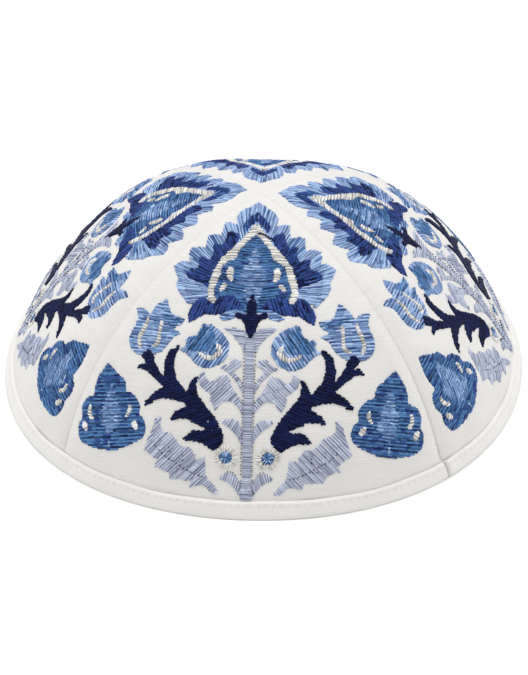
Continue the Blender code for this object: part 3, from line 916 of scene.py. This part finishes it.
def math_node(tree, operation, first, second):
    """Two values, each a number or an output, put together."""
    node = add_node(tree, "Math", operation=operation)
    for socket, value in zip(node.inputs, (first, second)):
        if isinstance(value, (int, float)):
            socket.default_value = value
        else:
            tree.links.new(value, socket)
    return node.outputs[0]


def weighed(tree, *parts):
    """The sum of values, each times its weight."""
    total = None
    for value, weight in parts:
        part = math_node(tree, "MULTIPLY", value, weight)
        total = part if total is None else math_node(tree, "ADD", total, part)
    return total


def wave(tree, place, axis, pitch, distortion, stretch=(1.0, 1.0, 1.0)):
    """Threads of a weave: even waves along one axis, a pitch in mm apart."""
    place = add_node(tree, "Mapping", place, Scale=stretch).outputs[0]
    node = add_node(tree, "TexWave", place, wave_type="BANDS", bands_direction=axis,
                    Scale=2 * math.pi / pitch / 20, Distortion=distortion, Detail=1.0)
    return node.outputs["Fac"]


def add_relief(tree, shader, height, strength, distance):
    """A fine relief on a shader's surface."""
    bump = add_node(tree, "Bump", Strength=strength, Distance=distance)
    tree.links.new(height, bump.inputs["Height"])
    tree.links.new(bump.outputs[0], shader.inputs["Normal"])


def cloth_material(name, light, dark, pitch, slub):
    """Plain-woven cloth with fine ribs and slubs across the panel."""
    material, tree, shader = new_material(name, Roughness=0.88, Sheen_Weight=0.45,
                                          Specular_IOR_Level=0.25)
    place = attribute(tree, "cloth_mm", "Vector")
    slubs = noise_on(tree, place, (0.045, 1.0, 1.0), 1.5, 3.0)
    fine = noise_on(tree, place, (0.25, 2.6, 1.0), 1.3)
    broad = noise_on(tree, place, (1.0, 1.0, 1.0), 0.06)
    weave = math_node(tree, "MULTIPLY", wave(tree, place, "X", pitch, 0.6),
                      wave(tree, place, "Y", pitch, 0.6))
    ribs = wave(tree, place, "Y", RIB_PITCH, 2.2, (0.10, 1.0, 1.0))
    grain = weighed(tree, (ribs, 0.35), (slubs, 0.65))
    relief = weighed(tree, (grain, slub), (weave, 0.35), (fine, 0.5))
    part = 0.75 * slub
    # Painted shade darkens the cloth where a piece's painted_shade value is high.
    painted_shade = attribute(tree, "painted_shade")
    shade = weighed(tree, (grain, part), (broad, 1 - part), (painted_shade, -FOLD_SHADE))
    stops = add_node(tree, "ValToRGB")
    # Below the middle, the ramp darkens towards the painted shade's colour.
    stops.color_ramp.elements[0].color = linear(*PAINTED_SHADE_COLOUR)
    stops.color_ramp.elements[0].position = 0.0
    stops.color_ramp.elements[1].color = linear(*light)
    stops.color_ramp.elements.new(0.5).color = linear(*dark)
    spread = math_node(tree, "ADD", math_node(tree, "MULTIPLY", shade, 0.5), 0.5)
    tree.links.new(spread, stops.inputs["Fac"])
    tree.links.new(stops.outputs["Color"], shader.inputs["Base Color"])
    add_relief(tree, shader, relief, 0.5, 0.00022)
    return material


def thread_material(name, dark, light):
    """Stitched thread: each strand has its own tone, with painted shade on its flanks and on every
    other row, and a fine twist.
    """
    material, tree, shader = new_material(name, Roughness=0.5, Specular_IOR_Level=0.12)
    place = attribute(tree, "thread_mm", "Vector")
    streak = noise_on(tree, place, (0.6, 7.0, 1.0), 1.0)
    factor = weighed(tree, (attribute(tree, "tone_and_shade"), 0.8), (streak, 0.3))
    mix = add_node(tree, "Mix", data_type="RGBA")    # its colours are inputs 6 and 7
    mix.inputs[6].default_value = linear(*dark)
    mix.inputs[7].default_value = linear(*light)
    tree.links.new(factor, mix.inputs[0])
    tree.links.new(mix.outputs[2], shader.inputs["Base Color"])
    twist = add_node(tree, "TexWave", place, wave_type="BANDS", bands_direction="DIAGONAL", Scale=1.1)
    add_relief(tree, shader, twist.outputs["Fac"], 0.35, 0.00006)
    return material


# Each thread's darkest and lightest tone, as screen colours; the darker end also gives the painted
# shade between strands and rows.
THREADS = {
    "light_blue": ((26, 58, 124), (186, 213, 248)),
    "sky_blue": ((6, 32, 90), (134, 170, 218)),
    "mid_blue": ((0, 11, 54), (93, 140, 197)),
    "royal_blue": ((0, 3, 38), (60, 88, 162)),
    "navy": ((0, 0, 16), (20, 34, 84)),
    "lavender": ((104, 112, 145), (214, 221, 237)),
    "cream": ((132, 128, 124), (255, 254, 250)),
    "slate": ((24, 26, 48), (70, 76, 104)),
}


def studio():
    """Pale floor and even light."""
    bpy.ops.mesh.primitive_plane_add(size=6.0, location=(0, 0, 0))
    floor = bpy.context.object
    floor.name = "floor"
    material, _, _ = new_material("floor_white", Roughness=0.9, Specular_IOR_Level=0.1,
                                  Base_Color=(0.93, 0.93, 0.93, 1.0))
    floor.data.materials.append(material)

    world = bpy.data.worlds.new("studio")
    world.use_nodes = True
    background = world.node_tree.nodes["Background"]
    background.inputs["Color"].default_value = (1.0, 1.0, 1.0, 1.0)
    background.inputs["Strength"].default_value = 0.62
    bpy.context.scene.world = world
    # Place, size and power of each soft lamp.
    lamps = (
        ("lamp_above", (0.05, 0.25, 1.30), 1.1, 8.2),
        ("lamp_left", (-1.15, -0.05, 0.80), 0.8, 4.0),
        ("lamp_right", (1.15, 0.0, 0.70), 0.8, 3.0),
    )
    for name, place, size, power in lamps:
        data = bpy.data.lights.new(name, "AREA")
        data.shape = "DISK"
        data.size = size
        data.energy = power
        lamp = bpy.data.objects.new(name, data)
        bpy.context.collection.objects.link(lamp)
        lamp.location = place
        lamp.rotation_euler = (-Vector(place)).to_track_quat("-Z", "Y").to_euler()
    bpy.context.scene.view_settings.view_transform = "Standard"


# The camera, worked out from the rim's ellipse and the seams in the photograph.
CAMERA_DISTANCE = 0.850
CAMERA_ELEVATION = math.radians(35.04)
CAMERA_AZIMUTH = math.radians(4.05)     # from straight in front, towards +X
CAMERA_ROLL = math.radians(-0.87)
CAMERA_TARGET = (0.0002, 0.0, 0.0083)   # before the turn by the azimuth
FOCAL_PIXELS = 2621.4
PHOTO_HEIGHT = 675
SENSOR = 36.0


def add_camera():
    """A camera where the photograph was taken."""
    data = bpy.data.cameras.new("camera")
    data.sensor_width = SENSOR
    data.lens = FOCAL_PIXELS / PHOTO_HEIGHT * SENSOR
    camera = bpy.data.objects.new("camera", data)
    bpy.context.collection.objects.link(camera)
    camera.matrix_world = (
        Matrix.Rotation(CAMERA_AZIMUTH, 4, "Z") @ Matrix.Translation(CAMERA_TARGET)
        @ Matrix.Rotation(math.pi / 2 - CAMERA_ELEVATION, 4, "X")
        @ Matrix.Rotation(CAMERA_ROLL, 4, "Z") @ Matrix.Translation((0, 0, CAMERA_DISTANCE)))
    bpy.context.scene.camera = camera


def main():
    """The whole scene."""
    add_camera()
    studio()
    panel_cloth = cloth_material("panel_cloth", (238, 236, 233), (213, 211, 208), 0.42, 0.8)
    binding_cloth = cloth_material("binding_cloth", (240, 238, 234), (228, 226, 222), 0.34, 0.2)
    materials = {thread: thread_material("thread_" + thread, *tones_and_shades)
                 for thread, tones_and_shades in THREADS.items()}
    for panel in range(len(PANELS)):
        make_panel(panel, panel_cloth)
        make_embroidery(panel, materials)
    make_binding(binding_cloth)


main()
